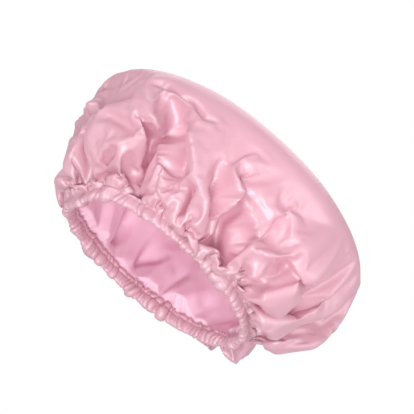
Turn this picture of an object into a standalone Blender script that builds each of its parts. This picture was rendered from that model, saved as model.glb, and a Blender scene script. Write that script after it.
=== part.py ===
"""A gathered double-layer shower cap: satin outer shell, waterproof lining and elastic hem.

Metres, +Z up. The cap stands on its hem: the mouth faces down, the crown faces up.
-X is the front (forehead), +X is the back (nape). The origin lies on the plane of the
rim, under the middle of the cap's box.

Each loop of cloth and thread is made in two halves that meet on the plane across the
middle of the rim, because the back half slides away from the front half as the elastic
hem is stretched. The elastic is one strip with lapped ends.
"""

import bmesh
import bpy
import numpy as np
from math import cos, degrees, exp, pi, radians, sin, tau

# The relaxed mouth, measured on the inner face of the hem
MOUTH_HALF_LENGTH = 0.0940
MOUTH_HALF_WIDTH = 0.0765

# The turned hem that holds the elastic
HEM_DEPTH = 0.0060
HEM_HEIGHT = 0.0130
CLOTH = 0.0012

# The widest reach of the shell from the middle of the rim, before its swells
FRONT_REACH = 0.1475
BACK_REACH = 0.1629
SIDE_REACH = 0.1220
FRONT_WIDEST_HEIGHT = 0.0880
BACK_WIDEST_HEIGHT = 0.0700
CROWN_HEIGHT = 0.1430

# Exponents of the curves from the hem to the widest line, and from there to the crown
FRONT_FLARE = 1.40
BACK_FLARE = 1.70
FRONT_DOME = 2.80
BACK_DOME = 3.40

# The large puffs and valleys that the gathers make: angle round the rim and row up the wall in
# degrees, height in metres (a valley is negative), and how far each spreads in angle and in rows
SWELLS = (
    (218.0, -50.0, 0.0190, 17.0, 34.0),
    (203.0, -8.0, -0.0030, 16.0, 20.0),
    (150.0, -50.0, 0.0150, 12.0, 36.0),
    (122.0, -10.0, -0.0080, 14.0, 26.0),
    (90.0, -62.0, 0.0100, 12.0, 26.0),
    (40.0, -70.0, 0.0080, 16.0, 24.0),
    (45.0, -22.0, -0.0060, 14.0, 16.0),
    (13.0, -32.0, -0.0070, 14.0, 40.0),
    (340.0, -38.0, -0.0060, 9.0, 20.0),
    (331.0, -68.0, 0.0130, 12.0, 24.0),
    (317.0, -8.0, -0.0060, 10.0, 22.0),
    (300.0, -2.0, 0.0060, 9.0, 22.0),
    (285.0, -28.0, -0.0070, 8.0, 24.0),
    (268.0, -58.0, -0.0080, 14.0, 24.0),
    (246.0, -14.0, -0.0075, 11.0, 30.0),
    (166.0, -20.0, -0.0060, 15.0, 22.0),
)

# Sections round each half of the cap
HALF_STEPS = 36

# The lining hangs inside the valleys of the shell
LINING = 0.0008
LINING_GAP = 0.0009
LINING_EDGE_HEIGHT = 0.0100

# The elastic strip in the hem's channel, lapped at the nape
ELASTIC_WIDTH = 0.0060
ELASTIC_THICKNESS = 0.0006
ELASTIC_LOW = 0.0026
ELASTIC_STEPS = 66
LAP_ANGLE = radians(14.0)
LAP_PITCH = 0.0010

# The bar tack round the lapped ends
TACK_WIDTH = 0.0060
TACK_THREAD = 0.0003

# The seam threads that close the hem's channel
THREAD_RADIUS = 0.00022
THREAD_STEPS = 26
SEAM_HEIGHT = 0.0112

GAP = 0.0003
WALL_ROWS = (90.0, 83.0, 73.0, 61.0, 47.0, 32.0, 16.0, 0.0, -15.0, -30.0, -46.0, -62.0, -78.0, -90.0)

SATIN = (0.86, 0.50, 0.60, 1.0)
FILM = (0.91, 0.46, 0.60, 1.0)
ELASTIC_WHITE = (0.90, 0.88, 0.86, 1.0)
THREAD_PINK = (0.80, 0.38, 0.50, 1.0)


def clear_scene():
    for obj in list(bpy.data.objects):
        bpy.data.objects.remove(obj, do_unlink=True)


def make_material(name, colour, roughness, metallic=0.0):
    material = bpy.data.materials.new(name)
    material.use_nodes = True
    shader = material.node_tree.nodes["Principled BSDF"]
    shader.inputs["Base Color"].default_value = colour
    shader.inputs["Roughness"].default_value = roughness
    shader.inputs["Metallic"].default_value = metallic
    return material


def blend(front, back, angle):
    """A value that eases from the front's at the forehead to the back's at the nape."""
    share = 0.5 + 0.5 * cos(angle)
    share = share * share * (3.0 - 2.0 * share)
    return front + (back - front) * share


def swell_height(angle, row):
    """How far the puffs and valleys move the wall outwards. Each is a bell, and all fade at the hem."""
    total = 0.0
    for centre, level, height, half_angle, half_rows in SWELLS:
        turn = (degrees(angle) - centre + 180.0) % 360.0 - 180.0
        total += height * exp(-((turn / half_angle) ** 2) - ((row - level) / half_rows) ** 2)
    return total * min(1.0, (row + 90.0) / 12.0)


def wall_point(angle, row, inset=0.0, puffs=1.0):
    """A point of the wall: how far out along X and Y, and how high.

    row runs from 90 degrees at the crown, through 0 on the widest line, to -90 at the top
    of the hem. Both stretches are quarters of a superellipse, moved by the swells: by all of
    each valley, and by the given share of each puff.
    """
    widest = blend(FRONT_WIDEST_HEIGHT, BACK_WIDEST_HEIGHT, angle)
    if row >= 0.0:
        power = 2.0 / blend(FRONT_DOME, BACK_DOME, angle)
        share = cos(radians(row)) ** power if row < 90.0 else 0.0
        height = widest + (CROWN_HEIGHT - inset - widest) * sin(radians(row)) ** power
        along = share * (blend(FRONT_REACH, BACK_REACH, angle) - inset)
        across = share * (SIDE_REACH - inset)
    else:
        power = 2.0 / blend(FRONT_FLARE, BACK_FLARE, angle)
        share = cos(radians(row)) ** power if row > -90.0 else 0.0
        low = HEM_HEIGHT + inset
        height = widest - (widest - low) * sin(radians(-row)) ** power
        hem_along = MOUTH_HALF_LENGTH + HEM_DEPTH - inset
        hem_across = MOUTH_HALF_WIDTH + HEM_DEPTH - inset
        along = hem_along + share * (blend(FRONT_REACH, BACK_REACH, angle) - inset - hem_along)
        across = hem_across + share * (SIDE_REACH - inset - hem_across)
    swell = swell_height(angle, row) if row < 90.0 else 0.0
    swell *= puffs if swell > 0.0 else 1.0
    return along + swell, across + swell, height


def hem_point(angle, depth, height):
    """A point of the hem: depth is measured outwards from the mouth."""
    return MOUTH_HALF_LENGTH + depth, MOUTH_HALF_WIDTH + depth, height


def placed(angle, point):
    along, across, height = point
    return along * cos(angle), across * sin(angle), height


def shell_section(angle):
    """The closed outline of the shell at one angle: wall, turned hem, and back up inside."""
    outer = [wall_point(angle, row) for row in WALL_ROWS]
    outer += [
        hem_point(angle, HEM_DEPTH, 0.0),
        hem_point(angle, 0.0, 0.0),
        hem_point(angle, 0.0, HEM_HEIGHT),
    ]
    inner = [wall_point(angle, row, inset=CLOTH) for row in WALL_ROWS]
    inner += [
        hem_point(angle, HEM_DEPTH - CLOTH, CLOTH),
        hem_point(angle, CLOTH, CLOTH),
        hem_point(angle, CLOTH, HEM_HEIGHT),
    ]
    return [placed(angle, point) for point in outer + inner[::-1]]


def lining_section(angle):
    """The closed outline of the lining at one angle. Its edge hangs into the hem's channel."""
    outside = CLOTH + LINING_GAP
    outer = [wall_point(angle, row, inset=outside, puffs=0.0) for row in WALL_ROWS]
    inner = [wall_point(angle, row, inset=outside + LINING, puffs=0.0) for row in WALL_ROWS]
    outer.append(hem_point(angle, HEM_DEPTH - outside, LINING_EDGE_HEIGHT))
    inner.append(hem_point(angle, HEM_DEPTH - outside - LINING, LINING_EDGE_HEIGHT))
    return [placed(angle, point) for point in outer + inner[::-1]]


def sweep(name, sections, material, collection, closed=False):
    """A solid from closed outlines with equal numbers of points, joined in order."""
    bm = bmesh.new()
    rings = [[bm.verts.new(point) for point in section] for section in sections]
    following = rings[1:] + rings[:1] if closed else rings[1:]
    for ring, after in zip(rings, following):
        for i in range(len(ring)):
            j = (i + 1) % len(ring)
            bm.faces.new((ring[i], ring[j], after[j], after[i]))
    if not closed:
        bm.faces.new(rings[0])
        bm.faces.new(rings[-1][::-1])
    bmesh.ops.remove_doubles(bm, verts=bm.verts, dist=1e-6)
    bmesh.ops.recalc_face_normals(bm, faces=bm.faces)
    mesh = bpy.data.meshes.new(name)
    bm.to_mesh(mesh)
    bm.free()
    mesh.shade_smooth()
    mesh.set_sharp_from_angle(angle=radians(50.0))
    mesh.materials.append(material)
    obj = bpy.data.objects.new(name, mesh)
    collection.objects.link(obj)
    return obj


def half_angles(half, steps):
    """Angles across one half: the front runs round the forehead, the back round the nape."""
    start = 0.5 * pi if half == "front" else -0.5 * pi
    return [start + pi * i / steps for i in range(steps + 1)]


def thread_half(name, half, depth, material, collection):
    """Half a turn of seam thread round the hem."""
    curve = bpy.data.curves.new(name, "CURVE")
    curve.dimensions = "3D"
    curve.bevel_depth = THREAD_RADIUS
    curve.bevel_resolution = 0
    curve.use_fill_caps = True
    angles = half_angles(half, THREAD_STEPS)
    spline = curve.splines.new("POLY")
    spline.points.add(len(angles) - 1)
    for point, angle in zip(spline.points, angles):
        point.co = (*placed(angle, hem_point(angle, depth, SEAM_HEIGHT)), 1.0)
    curve.materials.append(material)
    obj = bpy.data.objects.new(name, curve)
    collection.objects.link(obj)
    return obj


def strip_station(angle, depth, half_thickness, low, high):
    """The four corners of a flat strip's section, standing upright in the channel."""
    corners = (
        (depth - half_thickness, low),
        (depth + half_thickness, low),
        (depth + half_thickness, high),
        (depth - half_thickness, high),
    )
    return [placed(angle, hem_point(angle, d, h)) for d, h in corners]


def make_elastic(material, collection, parent):
    """One strip round the channel. It drifts inwards by LAP_PITCH a turn, so its ends lap."""
    total = tau + LAP_ANGLE
    middle = 0.5 * HEM_DEPTH
    sections = []
    for i in range(ELASTIC_STEPS + 1):
        turn = total * i / ELASTIC_STEPS
        depth = middle + LAP_PITCH * (0.5 - turn / tau)
        angle = turn - 0.5 * LAP_ANGLE
        sections.append(
            strip_station(
                angle,
                depth,
                0.5 * ELASTIC_THICKNESS,
                ELASTIC_LOW,
                ELASTIC_LOW + ELASTIC_WIDTH,
            )
        )
    obj = sweep("elastic_band", sections, material, collection)
    obj.parent = parent


def make_tack(material, collection, parent):
    """A flat band of thread round both lapped ends of the elastic, above and below them."""
    middle = 0.5 * HEM_DEPTH
    reach = 0.5 * (LAP_PITCH * (1.0 + LAP_ANGLE / tau) + ELASTIC_THICKNESS) + GAP
    low = ELASTIC_LOW - GAP
    high = ELASTIC_LOW + ELASTIC_WIDTH + GAP
    half_angle = 0.5 * TACK_WIDTH / (MOUTH_HALF_WIDTH + middle)
    sections = []
    for side, level in ((-1, -1), (1, -1), (1, 1), (-1, 1)):
        inner = (middle + side * reach, low if level < 0 else high)
        outer = (inner[0] + side * TACK_THREAD, inner[1] + level * TACK_THREAD)
        edges = [(-half_angle, inner), (-half_angle, outer), (half_angle, outer), (half_angle, inner)]
        sections.append([placed(a, hem_point(a, *corner)) for a, corner in edges])
    obj = sweep("elastic_join_tack", sections, material, collection, closed=True)
    obj.parent = parent


def rim_middle():
    """Where the middle of the rim lies, so that the origin is under the middle of the box."""
    angles = half_angles("front", HALF_STEPS) + half_angles("back", HALF_STEPS)
    points = np.array([placed(a, wall_point(a, row)) for a in angles for row in WALL_ROWS])
    return -0.5 * (points.min(axis=0) + points.max(axis=0))


def make_half(half, outwards, materials, collection, middle):
    """One half of the cap, held by an empty on the rim's middle. Its pieces end just short of the cut."""
    holder = bpy.data.objects.new(f"{half}_half", None)
    holder.location = (middle[0], middle[1], 0.0)
    collection.objects.link(holder)
    angles = half_angles(half, HALF_STEPS)
    shell = sweep(
        f"outer_shell_{half}",
        [shell_section(a) for a in angles],
        materials["satin"],
        collection,
    )
    lining = sweep(
        f"lining_{half}",
        [lining_section(a) for a in angles],
        materials["film"],
        collection,
    )
    clear = GAP + THREAD_RADIUS
    needle = thread_half(
        f"needle_thread_{half}", half, HEM_DEPTH + clear, materials["thread"], collection
    )
    bobbin = thread_half(f"bobbin_thread_{half}", half, -clear, materials["thread"], collection)
    for piece in (shell, lining, needle, bobbin):
        piece.parent = holder
        piece.location.x = outwards * 0.5 * GAP
    return holder


def main():
    clear_scene()
    cap = bpy.data.collections.new("shower_cap")
    bpy.context.scene.collection.children.link(cap)
    materials = {
        "satin": make_material("pale pink satin", SATIN, 0.38),
        "film": make_material("pink waterproof film", FILM, 0.55),
        "elastic": make_material("white knitted elastic", ELASTIC_WHITE, 0.9),
        "thread": make_material("pink sewing thread", THREAD_PINK, 0.7),
    }
    middle = rim_middle()
    front = make_half("front", -1.0, materials, cap, middle)
    back = make_half("back", 1.0, materials, cap, middle)
    make_elastic(materials["elastic"], cap, front)
    make_tack(materials["thread"], cap, back)


main()
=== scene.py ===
"""Looks of a gathered satin shower cap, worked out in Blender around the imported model.

The shell is a flat oval of satin, gathered by a cloth simulation and carried on into its turned hem.
"""

from math import cos, pi, radians, sin, tau

import bpy
import numpy as np
from bpy.props import FloatProperty, FloatVectorProperty, PointerProperty
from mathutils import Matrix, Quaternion, Vector


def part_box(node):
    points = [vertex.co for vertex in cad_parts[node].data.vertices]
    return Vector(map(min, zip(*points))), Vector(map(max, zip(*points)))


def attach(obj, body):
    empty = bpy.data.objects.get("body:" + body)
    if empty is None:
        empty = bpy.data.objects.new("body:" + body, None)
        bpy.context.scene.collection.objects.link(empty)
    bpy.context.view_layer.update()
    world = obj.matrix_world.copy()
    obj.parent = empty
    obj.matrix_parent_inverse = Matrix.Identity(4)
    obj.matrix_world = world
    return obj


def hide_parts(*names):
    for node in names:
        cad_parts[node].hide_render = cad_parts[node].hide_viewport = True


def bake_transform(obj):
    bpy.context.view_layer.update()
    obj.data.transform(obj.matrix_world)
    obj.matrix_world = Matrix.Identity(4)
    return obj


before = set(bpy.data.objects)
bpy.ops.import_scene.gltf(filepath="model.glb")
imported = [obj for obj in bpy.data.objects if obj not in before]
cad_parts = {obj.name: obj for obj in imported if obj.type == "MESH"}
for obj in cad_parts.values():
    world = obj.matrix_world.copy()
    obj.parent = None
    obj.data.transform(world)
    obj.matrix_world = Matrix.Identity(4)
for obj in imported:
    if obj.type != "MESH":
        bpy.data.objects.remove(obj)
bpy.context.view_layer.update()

bl_info = {
    "name": "Gathered shower cap",
    "version": (1, 0, 0),
    "blender": (4, 5, 0),
    "location": "3D View > Sidebar > Shower Cap",
    "description": "Builds a satin shower cap with its lining, elastic hem and seam",
    "category": "Add Mesh",
}

MM = 0.001


def joined_box(*nodes):
    """Lowest and highest corner of several CAD nodes together."""
    corners = [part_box(node) for node in nodes]
    low = np.min([np.array(low) for low, high in corners], axis=0)
    high = np.max([np.array(high) for low, high in corners], axis=0)
    return low, high


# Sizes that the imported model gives
BOBBIN_LOW, BOBBIN_HIGH = joined_box("bobbin_thread_front", "bobbin_thread_back")
NEEDLE_LOW, NEEDLE_HIGH = joined_box("needle_thread_front", "needle_thread_back")
ELASTIC_LOW, ELASTIC_HIGH = joined_box("elastic_band")

THREAD_GAP = 0.3 * MM
RIM_MIDDLE = 0.5 * (BOBBIN_LOW[0] + BOBBIN_HIGH[0])
MOUTH_HALF_LENGTH = 0.5 * (BOBBIN_HIGH[0] - BOBBIN_LOW[0]) + THREAD_GAP
MOUTH_HALF_WIDTH = 0.5 * (BOBBIN_HIGH[1] - BOBBIN_LOW[1]) + THREAD_GAP
THREAD_RADIUS = 0.5 * (NEEDLE_HIGH[2] - NEEDLE_LOW[2])

# The cap's wall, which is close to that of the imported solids
FRONT_REACH = 146.1 * MM
BACK_REACH = 161.6 * MM
SIDE_REACH = 126.2 * MM
CROWN_HEIGHT = 142.0 * MM
HEM_HEIGHT = 13.0 * MM
FRONT_WIDEST_HEIGHT = 86.0 * MM
BACK_WIDEST_HEIGHT = 65.0 * MM
FRONT_FLARE = 1.35
BACK_FLARE = 1.70
FRONT_DOME = 2.75
BACK_DOME = 3.45

# Where the shell's cloth meets the hem, outwards from the mouth
JOIN_DEPTH = 3.6 * MM


# Small helpers


def ease(value):
    """Zero below 0, one above 1, and a smooth step between them."""
    value = np.clip(value, 0.0, 1.0)
    return value * value * (3.0 - 2.0 * value)


def front_to_back(front, back, angle):
    """A value that eases from the forehead's at angle pi to the nape's at angle 0."""
    return front + (back - front) * ease(0.5 + 0.5 * np.cos(angle))


def cubic(before, left, right, after, share):
    """A smooth curve from left to right that takes its slope from the points on either side."""
    share = share[..., None]
    return 0.5 * (
        2.0 * left
        + (right - before) * share
        + (2.0 * before - 5.0 * left + 4.0 * right - after) * share**2
        + (3.0 * left - 3.0 * right + after - before) * share**3
    )


def smooth_path(points, count):
    """Even steps along a smooth curve through the points."""
    points = np.array(points, float)
    points = np.vstack([2.0 * points[0] - points[1], points, 2.0 * points[-1] - points[-2]])
    place = np.linspace(0.0, len(points) - 3 - 1e-9, count)
    step = place.astype(int)
    return cubic(*[points[step + shift] for shift in range(4)], place - step)


def normalized(vectors):
    """The vectors in their own directions, with length one."""
    return vectors / np.maximum(np.linalg.norm(vectors, axis=-1, keepdims=True), 1e-6)


def ring_angles(columns):
    """Even angles round a ring."""
    return np.arange(columns) * tau / columns


def new_mesh(name, points, faces):
    """A mesh from points and a list of face arrays, with three or four corners each."""
    corners = np.concatenate([part.ravel() for part in faces]).astype(np.int32)
    counts = np.concatenate([np.full(len(part), part.shape[1]) for part in faces])
    starts = np.concatenate([[0], np.cumsum(counts)[:-1]]).astype(np.int32)
    mesh = bpy.data.meshes.new(name)
    mesh.vertices.add(len(points))
    mesh.vertices.foreach_set("co", points.astype(np.float32).ravel())
    mesh.loops.add(len(corners))
    mesh.loops.foreach_set("vertex_index", corners)
    mesh.polygons.add(len(starts))
    mesh.polygons.foreach_set("loop_start", starts)
    mesh.update()
    if mesh.validate():
        raise RuntimeError(f"{name} has faces that Blender had to repair")
    return mesh


def add_object(data):
    """A mesh, a light or a camera as an object of the scene, at the origin."""
    added = bpy.data.objects.new(data.name, data)
    bpy.context.scene.collection.objects.link(added)
    return added


def read_vectors(items, name):
    """The named vector of each of a mesh's items."""
    values = np.empty(3 * len(items), np.float32)
    items.foreach_get(name, values)
    return values.reshape(-1, 3).astype(float)


def set_uv(mesh, name, coordinates):
    """A UV map that gives each vertex the same coordinates in all its faces."""
    corners = np.empty(len(mesh.loops), np.int32)
    mesh.loops.foreach_get("vertex_index", corners)
    layer = mesh.uv_layers.new(name=name)
    layer.uv.foreach_set("vector", coordinates[corners].astype(np.float32).ravel())


# The wall of the cap


def wall_point(angle, row):
    """A point of the wall in space.

    row runs from 90 degrees at the crown, through 0 on the widest line, to -90 at the top of the hem.
    Both stretches are quarters of a superellipse whose exponents ease from front to back.
    """
    widest = front_to_back(FRONT_WIDEST_HEIGHT, BACK_WIDEST_HEIGHT, angle)
    upper = row >= 0.0
    dome = front_to_back(FRONT_DOME, BACK_DOME, angle)
    flare = front_to_back(FRONT_FLARE, BACK_FLARE, angle)
    power = 2.0 / np.where(upper, dome, flare)
    out = np.clip(np.cos(np.radians(row)), 0.0, 1.0) ** power
    rise = np.abs(np.sin(np.radians(row))) ** power
    height = np.where(
        upper, widest + (CROWN_HEIGHT - widest) * rise, widest - (widest - HEM_HEIGHT) * rise
    )
    reach = front_to_back(FRONT_REACH, BACK_REACH, angle)
    hem_length = MOUTH_HALF_LENGTH + JOIN_DEPTH
    hem_width = MOUTH_HALF_WIDTH + JOIN_DEPTH
    along = np.where(upper, out * reach, hem_length + out * (reach - hem_length))
    across = np.where(upper, out * SIDE_REACH, hem_width + out * (SIDE_REACH - hem_width))
    return np.stack([RIM_MIDDLE + along * np.cos(angle), across * np.sin(angle), height], axis=-1)


def wall_table(columns=180, rows=240):
    """Points of the wall by angle and by share of the way from the crown to the hem."""
    angles, fine_rows = np.meshgrid(
        ring_angles(columns), np.linspace(90.0, -90.0, 3 * rows + 1), indexing="ij"
    )
    points = wall_point(angles, fine_rows)
    steps = np.linalg.norm(np.diff(points, axis=1), axis=2)
    way = np.concatenate([np.zeros((columns, 1)), np.cumsum(steps, axis=1)], axis=1)
    share = np.linspace(0.0, 1.0, rows + 1)
    table = np.empty((rows + 1, columns, 3))
    for column in range(columns):
        for axis in range(3):
            table[:, column, axis] = np.interp(
                share * way[column, -1], way[column], points[column, :, axis]
            )
    return table


def from_table(table, share, angle):
    """A smooth reading of a table of rings, at a share from the pole to the edge and an angle.

    It is cubic along the ring and then across the rings. Past the pole it goes on down the other side.
    """
    rings, columns = table.shape[0] - 1, table.shape[1]
    ring_place = share * rings
    ring = np.minimum(np.floor(ring_place).astype(int), rings - 1)
    column_place = (angle % tau) / tau * columns
    column = np.floor(column_place).astype(int)
    column_share = column_place - column

    def along_ring(index):
        past_pole = index < 0
        row = np.where(past_pole, -index, np.minimum(index, rings))
        first = np.where(past_pole, column + columns // 2, column)
        points = [table[row, (first + step) % columns] for step in (-1, 0, 1, 2)]
        return cubic(*points, column_share)

    return cubic(*[along_ring(ring + step) for step in (-1, 0, 1, 2)], ring_place - ring)


WALL = wall_table()
WALL_LENGTHS = np.linalg.norm(np.diff(WALL, axis=0), axis=2).sum(axis=0)


# Maps of distances from the middle of the cap

# Directions lie on a disc whose middle is straight up and whose rim is 45 degrees below level
CENTRE = np.array([RIM_MIDDLE, 0.0, 60.0 * MM])
MAP_CELLS = 150


def wall_map():
    """A map of the wall's distance from the centre: the mean in each cell."""
    angle, row = np.meshgrid(np.linspace(0.0, tau, 1440), np.linspace(90.0, -90.0, 1200), indexing="ij")
    offsets = wall_point(angle, row).reshape(-1, 3) - CENTRE
    column, line = direction_cells(offsets)
    cell = np.round(line).astype(int) * MAP_CELLS + np.round(column).astype(int)
    count = np.bincount(cell, minlength=MAP_CELLS**2)
    total = np.bincount(cell, np.linalg.norm(offsets, axis=1), MAP_CELLS**2)
    means = np.where(count > 0, total / np.maximum(count, 1), 100.0 * MM)
    return means.reshape(MAP_CELLS, MAP_CELLS)


def innermost(points, reach):
    """A map of how near the centre the cloth comes in each direction, eroded and smoothed.

    Each cell takes the least distance within one cell more than reach, and is then averaged twice
    over half as many, so that the map stays within the cloth.
    """
    column, row = direction_cells(points - CENTRE)
    distance = np.linalg.norm(points - CENTRE, axis=1)
    nearest = np.full(MAP_CELLS * MAP_CELLS, 1.0)
    np.minimum.at(nearest, row.astype(int) * MAP_CELLS + column.astype(int), distance)
    nearest = nearest.reshape(MAP_CELLS, MAP_CELLS)
    for axis in (0, 1):
        shifted = [np.roll(nearest, step, axis=axis) for step in range(-reach - 1, reach + 2)]
        nearest = np.min(shifted, axis=0)
    for axis in (0, 1, 0, 1):
        half = max(1, reach // 2)
        shifted = [np.roll(nearest, step, axis=axis) for step in range(-half, half + 1)]
        nearest = np.mean(shifted, axis=0)
    return nearest


def direction_cells(offsets):
    """Places on the disc of directions, in cells, for offsets from the centre."""
    flat = np.hypot(offsets[:, 0], offsets[:, 1])
    from_top = np.arctan2(flat, offsets[:, 2]) / radians(135.0)
    scale = 0.5 * from_top / np.maximum(flat, 1e-9)
    last = MAP_CELLS - 1
    return (0.5 + offsets[:, 0] * scale) * last, (0.5 + offsets[:, 1] * scale) * last


def read_map(values, offsets):
    """The map's value in each offset's direction, blended between the four nearest cells."""
    column, row = direction_cells(offsets)
    left, low = column.astype(int), row.astype(int)
    across, along = column - left, row - low
    lower = values[low, left] * (1.0 - across) + values[low, left + 1] * across
    upper = values[low + 1, left] * (1.0 - across) + values[low + 1, left + 1] * across
    return lower * (1.0 - along) + upper * along


# The folds


class Fold:
    """One ridge or valley of the cloth.

    height is how far it stands out, negative for a valley, and half_width how far it spreads, both
    in millimetres. sharpness is 0 for a round back and 1 for a crisp edge. The path is a list of
    (angle in degrees, share of the way from crown to hem).
    """

    def __init__(self, height, half_width, sharpness, path):
        self.height = height * MM
        self.half_width = half_width * MM
        self.sharpness = sharpness
        self.path = path


# Folds of the side that faces the photograph, from the forehead round to the nape
NEAR_FOLDS = [
    Fold(11, 17, 0.0, [(214, 0.83), (224, 0.85)]),
    Fold(6, 6, 0.9, [(208, 0.80), (212, 0.755), (219, 0.75), (226, 0.77), (230, 0.82), (237, 0.85)]),
    Fold(-9, 7, 0.7, [(237, 0.90), (239, 0.95), (241, 0.99)]),
    Fold(-5, 6, 0.5, [(203, 0.97), (205, 0.88), (204, 0.78)]),
    Fold(7, 10, 0.2, [(224, 0.70), (230, 0.74)]),
    Fold(10, 7, 0.9, [(224, 0.69), (229, 0.72), (236, 0.76), (243, 0.82), (250, 0.88), (259, 0.95)]),
    Fold(-5, 11, 0.2, [(240, 0.71), (245, 0.76), (250, 0.82), (257, 0.90)]),
    Fold(6, 6, 0.8, [(246, 0.69), (250, 0.725), (255, 0.76), (260, 0.80), (266, 0.90)]),
    Fold(-9, 5, 0.6, [(261, 0.83), (263, 0.87), (265, 0.92)]),
    Fold(7, 8, 0.4, [(264, 0.80), (268, 0.86), (270, 0.93)]),
    Fold(-6, 6, 0.6, [(261, 0.70), (265, 0.76), (270, 0.82), (275, 0.89), (278, 0.95)]),
    Fold(8, 6, 0.7, [(263, 0.71), (268, 0.745), (272, 0.77), (276, 0.83)]),
    Fold(6, 9, 0.6, [(264, 0.71), (270, 0.73), (275, 0.705), (281, 0.695), (288, 0.70), (298, 0.66)]),
    Fold(-10, 10, 0.4, [(276, 0.765), (280, 0.81), (284, 0.86), (288, 0.93)]),
    Fold(9, 6, 0.7, [(274, 0.74), (279, 0.745), (285, 0.76), (290, 0.79), (293, 0.85), (292, 0.92)]),
    Fold(8, 9, 0.3, [(296, 0.80), (298, 0.86), (299, 0.93)]),
    Fold(-9, 7, 0.6, [(296, 0.87), (300, 0.86), (306, 0.84), (317, 0.80), (326, 0.79)]),
    Fold(8, 10, 0.3, [(306, 0.90), (314, 0.87), (324, 0.86)]),
    Fold(-8, 6, 0.6, [(305, 0.97), (312, 0.94), (322, 0.92), (330, 0.865), (333, 0.80)]),
    Fold(9, 11, 0.2, [(330, 0.93), (342, 0.91)]),
    Fold(-7, 7, 0.5, [(338, 0.97), (345, 0.93), (350, 0.86), (352, 0.78)]),
    Fold(9, 12, 0.2, [(357, 0.92), (358, 0.82)]),
    Fold(-8, 7, 0.6, [(372, 0.97), (370, 0.88), (368, 0.80)]),
]


def far_folds(chance, first, last, spacing):
    """Uneven folds between two angles: a valley and a swell in turn, some with a ridge above."""
    folds = []
    angle = first
    while angle < last:
        slant = chance.uniform(-14.0, 14.0)
        top = chance.uniform(0.66, 0.80)
        low = chance.uniform(0.93, 1.0)
        ridged = chance.uniform() < 0.5
        valley = [
            (angle, low),
            (angle + 0.3 * slant, low - 0.35 * (low - top)),
            (angle + 0.7 * slant + chance.uniform(-3.0, 3.0), low - 0.7 * (low - top)),
            (angle + slant, top),
        ]
        depth, spread = chance.uniform(7.0, 12.0), chance.uniform(6.0, 9.0)
        folds.append(Fold(-depth, spread, chance.uniform(0.3, 0.7), valley))
        middle = angle + spacing * chance.uniform(0.35, 0.6)
        swell = [
            (middle, 0.94),
            (middle + 0.4 * slant + chance.uniform(-3.0, 3.0), 0.86),
            (middle + 0.8 * slant, chance.uniform(0.72, 0.80)),
        ]
        height, spread = chance.uniform(7.0, 11.0), chance.uniform(8.0, 13.0)
        folds.append(Fold(height, spread, chance.uniform(0.0, 0.35), swell))
        if ridged:
            ridge = [
                (middle - chance.uniform(4.0, 9.0), chance.uniform(0.70, 0.78)),
                (middle, chance.uniform(0.68, 0.74)),
                (middle + chance.uniform(5.0, 11.0), chance.uniform(0.70, 0.80)),
            ]
            folds.append(Fold(chance.uniform(4.0, 7.0), 6.0, 0.8, ridge))
        angle += spacing * chance.uniform(0.75, 1.25)
    return folds


# Points along each fold's path, and the falls of a round and of a sharp fold's profile
FOLD_STEPS = 36
ROUND_FALL = 0.9
SHARP_FALL = 1.25
SHARP_TOP = 1.19
SHARP_SOFTNESS = 0.02

# What is left of a long fold's height at its ends
END_SHARE = 0.15


def fold_heights(folds, points):
    """How far all the folds together push each point of the wall out.

    Each fold adds its height times a profile of the distance to its path, which is a bell for a round
    fold and a pointed fall for a sharp one. Folds with more than two points fade towards their ends.
    """
    heights = np.zeros(len(points))
    for fold in folds:
        path = smooth_path(fold.path, FOLD_STEPS)
        line = from_table(WALL, np.clip(path[:, 1], 0.0, 1.0), np.radians(path[:, 0]))
        middle = line.mean(axis=0)
        reach = np.abs(line - middle).max(axis=0) + 4.0 * fold.half_width
        near = np.nonzero((np.abs(points - middle) < reach).all(axis=1))[0]
        away = np.linalg.norm(points[near, None] - line[None], axis=2)
        nearest = away.argmin(axis=1)
        spread = away[np.arange(len(near)), nearest] / fold.half_width
        way = nearest / (FOLD_STEPS - 1.0)
        ends = np.minimum(1.0, 4.0 * np.minimum(way, 1.0 - way) + END_SHARE)
        if len(fold.path) == 2:
            ends = 1.0
        bell = np.exp(-ROUND_FALL * spread * spread)
        point = SHARP_TOP * np.exp(-SHARP_FALL * np.sqrt(spread * spread + SHARP_SOFTNESS))
        profile = (1.0 - fold.sharpness) * bell + fold.sharpness * point
        heights[near] += fold.height * ends * profile
    return heights


# The gathers of the hem

# Angles at which the hem is pinched, in degrees, on the side that faces the photograph
NEAR_PINCHES = (
    206, 214, 218, 228, 232, 240, 244, 247.5, 252, 256, 262, 269, 280, 284, 292, 304, 309, 320, 327,
    331, 335, 341
)
RIM_RADIUS = 85.5 * MM

# The bunch of gathers beside the forehead: where it is, how wide, and how far it droops
DROOP_ANGLE = radians(190.0)
DROOP_SPREAD = radians(24.0)
DROOP_DOWN = 8.0 * MM
DROOP_INWARDS = 10.0 * MM


def uneven_angles(chance, first, last, spacing):
    """Angles from first to last, in degrees, at uneven steps round the spacing."""
    steps = chance.uniform(0.35, 1.75, int(round((last - first) / spacing)))
    return first + (last - first) * np.cumsum(steps) / steps.sum()


# How the lobes' half waves are raised, and how much their height changes along the hem's section
LOBE_POWER = 1.1
LOBE_CHANGE = 0.35


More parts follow.
